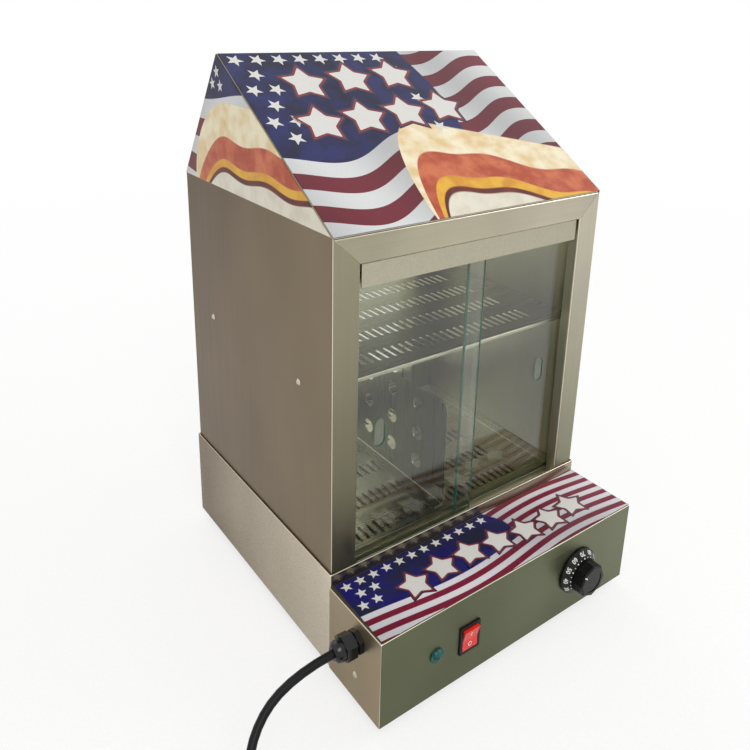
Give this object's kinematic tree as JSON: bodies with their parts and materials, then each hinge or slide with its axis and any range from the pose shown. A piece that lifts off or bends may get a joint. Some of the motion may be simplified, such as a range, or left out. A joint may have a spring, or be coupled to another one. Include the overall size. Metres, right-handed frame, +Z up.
{
  "type": "hot dog steamer",
  "caption": "Countertop hot dog and bun steamer: a glazed tower with a hut-shaped roof on a heated water base, with a control box across its front.",
  "frame": {"origin": "centre of the footprint, at the height of the surface the feet stand on", "axes": "+X to the right seen from the front, +Y to the rear, +Z up"},
  "size_m": [0.4918, 0.6137, 0.5757],
  "materials": {
    "steel": "satin",
    "inner_steel": "satin",
    "printed_film": "gloss",
    "track_aluminium": "satin",
    "door_glass": "gloss",
    "foot_rubber": "matte",
    "zinc_steel": "satin",
    "heater_sheath": "satin",
    "brass": "satin",
    "nickel_valve": "gloss",
    "knob_plastic": "satin",
    "black_nylon": "gloss",
    "rocker_plastic": "gloss",
    "lamp_plastic": "gloss",
    "white_plastic": "matte",
    "cord_rubber": "matte",
    "pin_brass": "satin"
  },
  "bodies": {
    "cabinet": {"base_floor": "inner_steel", "base_housing": "steel", "box_floor": "inner_steel", "ceiling": "inner_steel", "control_box": "steel", "control_box_print": "printed_film", "cord_coil": "cord_rubber", "drain_nuts": "brass", "drain_pipe": "brass", "drain_valve": "nickel_valve", "foot_bolts": "zinc_steel", "foot_nuts": "zinc_steel", "front_bottom_track": "track_aluminium", "front_rail": "steel", "front_sill": "steel", "front_top_track": "track_aluminium", "gable_prints": "printed_film", "gland_body": "black_nylon", "gland_lock_nut": "black_nylon", "gland_nut": "black_nylon", "heater_fittings": "brass", "heating_element": "heater_sheath", "lamp_body": "white_plastic", "lamp_clip": "black_nylon", "lamp_lens": "lamp_plastic", "left_wall": "steel", "pan_ledges": "inner_steel", "plug_body": "cord_rubber", "plug_pins": "pin_brass", "power_cord": "cord_rubber", "rear_bottom_track": "track_aluminium", "rear_rail": "steel", "rear_sill": "steel", "rear_top_track": "track_aluminium", "right_wall": "steel", "roof": "steel", "roof_front_print": "printed_film", "roof_rear_print": "printed_film", "rubber_feet": "foot_rubber", "shelf_brackets": "inner_steel", "side_rivets": "track_aluminium", "switch_body": "black_nylon", "terminal_block": "white_plastic", "thermostat": "zinc_steel", "thermostat_bulb": "heater_sheath", "thermostat_screws": "zinc_steel", "water_pan": "inner_steel"},
    "front_left_door": {"front_left_glass": "door_glass"},
    "front_right_door": {"front_right_glass": "door_glass"},
    "rear_left_door": {"rear_left_glass": "door_glass"},
    "rear_right_door": {"rear_right_glass": "door_glass"},
    "shelf": {"bun_shelf": "inner_steel"},
    "cabin_floor": {"floor_plate": "inner_steel"},
    "divider_plate": {"divider": "inner_steel"},
    "knob": {"thermostat_knob": "knob_plastic", "knob_shaft": "zinc_steel"},
    "rocker": {"switch_rocker": "rocker_plastic"},
    "lever": {"drain_lever": "nickel_valve"}
  },
  "joints": [
    {"name": "front_left_slide", "type": "slide", "parent": "cabinet", "child": "front_left_door", "axis": [1, 0, 0], "range_m": [0, 0.1265]},
    {"name": "front_right_slide", "type": "slide", "parent": "cabinet", "child": "front_right_door", "axis": [-1, 0, 0], "range_m": [0, 0.135]},
    {"name": "rear_left_slide", "type": "slide", "parent": "cabinet", "child": "rear_left_door", "axis": [1, 0, 0], "range_m": [0, 0.124]},
    {"name": "rear_right_slide", "type": "slide", "parent": "cabinet", "child": "rear_right_door", "axis": [-1, 0, 0], "range_m": [0, 0.124]},
    {"name": "shelf_lift", "type": "slide", "parent": "cabinet", "child": "shelf", "axis": [0, 0, 1], "range_m": [0, 0.06]},
    {"name": "floor_lift", "type": "slide", "parent": "cabinet", "child": "cabin_floor", "axis": [0, 0, 1], "range_m": [0, 0.03]},
    {"name": "divider_lift", "type": "slide", "parent": "cabin_floor", "child": "divider_plate", "axis": [0, 0, 1], "range_m": [0, 0.04]},
    {"name": "knob_turn", "type": "hinge", "parent": "cabinet", "child": "knob", "pos_m": [0.087, -0.20275, 0.059], "axis": [0, 1, 0], "range_deg": [0, 270]},
    {"name": "rocker_tip", "type": "hinge", "parent": "cabinet", "child": "rocker", "pos_m": [-0.066, -0.20075, 0.0565], "axis": [1, 0, 0], "range_deg": [-14, 0]},
    {"name": "lever_turn", "type": "hinge", "parent": "cabinet", "child": "lever", "pos_m": [0.062, 0.19725, 0.0525], "axis": [0, 0, 1], "range_deg": [0, 90]}
  ]
}
